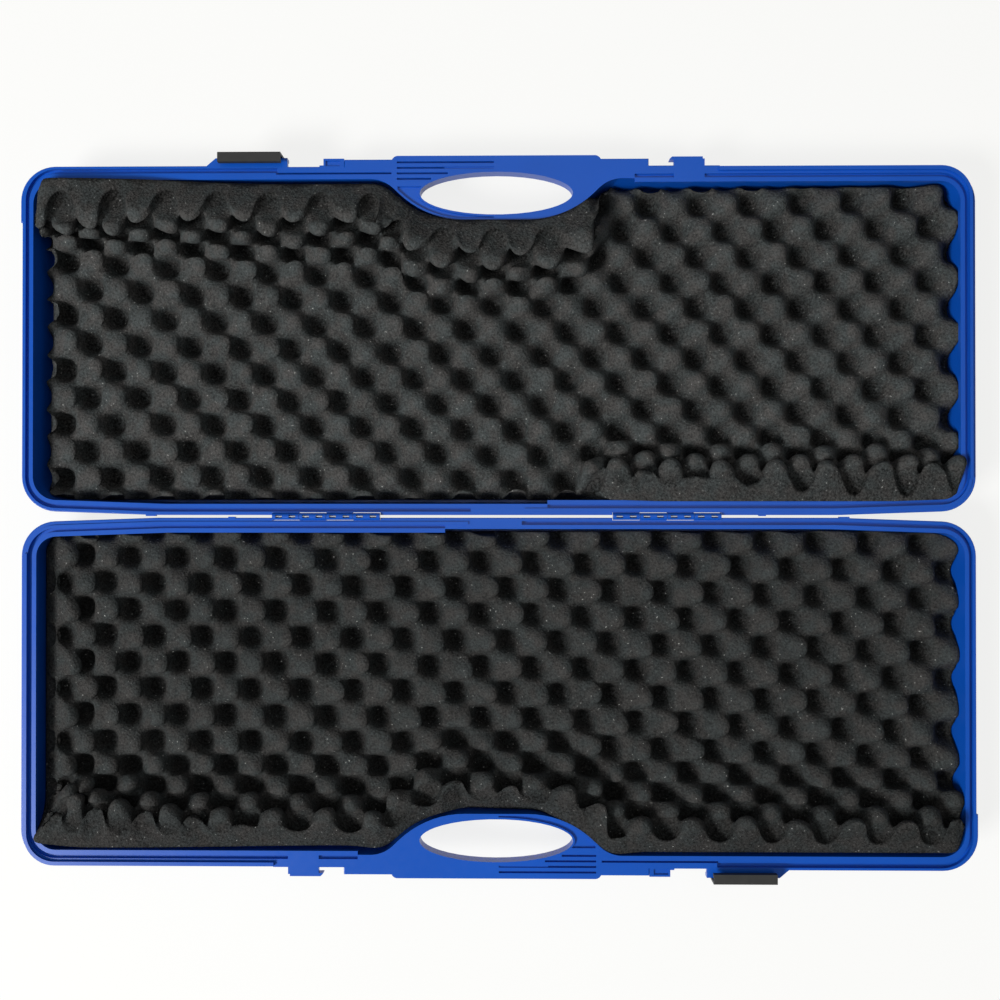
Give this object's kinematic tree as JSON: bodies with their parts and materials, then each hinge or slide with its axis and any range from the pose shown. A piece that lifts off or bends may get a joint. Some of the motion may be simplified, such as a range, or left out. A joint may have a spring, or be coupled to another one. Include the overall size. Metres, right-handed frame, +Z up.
{
  "type": "protective hard case",
  "caption": "Long two-part protective hard case with egg-crate foam, a hinged lid, a moulded hand grip and sliding latches, shown lying open flat.",
  "frame": {"origin": "on the floor under the middle of the hinge line, with the case lying open flat", "axes": "+X along the case and the hinge line, +Y from the base half towards the lid half, +Z up out of the open halves"},
  "size_m": [0.8226, 0.6234, 0.0526],
  "materials": {
    "shell_plastic": "satin moulded",
    "foam": "open-cell foam",
    "pin_steel": "bright drawn",
    "slider_plastic": "matt moulded"
  },
  "bodies": {
    "base": {"base_shell": "shell_plastic", "base_foam": "foam", "left_hinge_pin": "pin_steel", "right_hinge_pin": "pin_steel"},
    "lid": {"lid_shell": "shell_plastic", "lid_foam": "foam"},
    "base_slide": {"base_latch_slider": "slider_plastic"},
    "lid_slide": {"lid_latch_slider": "slider_plastic"}
  },
  "joints": [
    {"name": "lid_hinge", "type": "hinge", "parent": "base", "child": "lid", "pos_m": [0, 0, 0.04265], "axis": [1, 0, 0], "range_deg": [0, 180]},
    {"name": "base_latch_slide", "type": "slide", "parent": "base", "child": "base_slide", "axis": [-1, 0, 0], "range_m": [0, 0.03]},
    {"name": "lid_latch_slide", "type": "slide", "parent": "lid", "child": "lid_slide", "axis": [1, 0, 0], "range_m": [0, 0.03]}
  ]
}
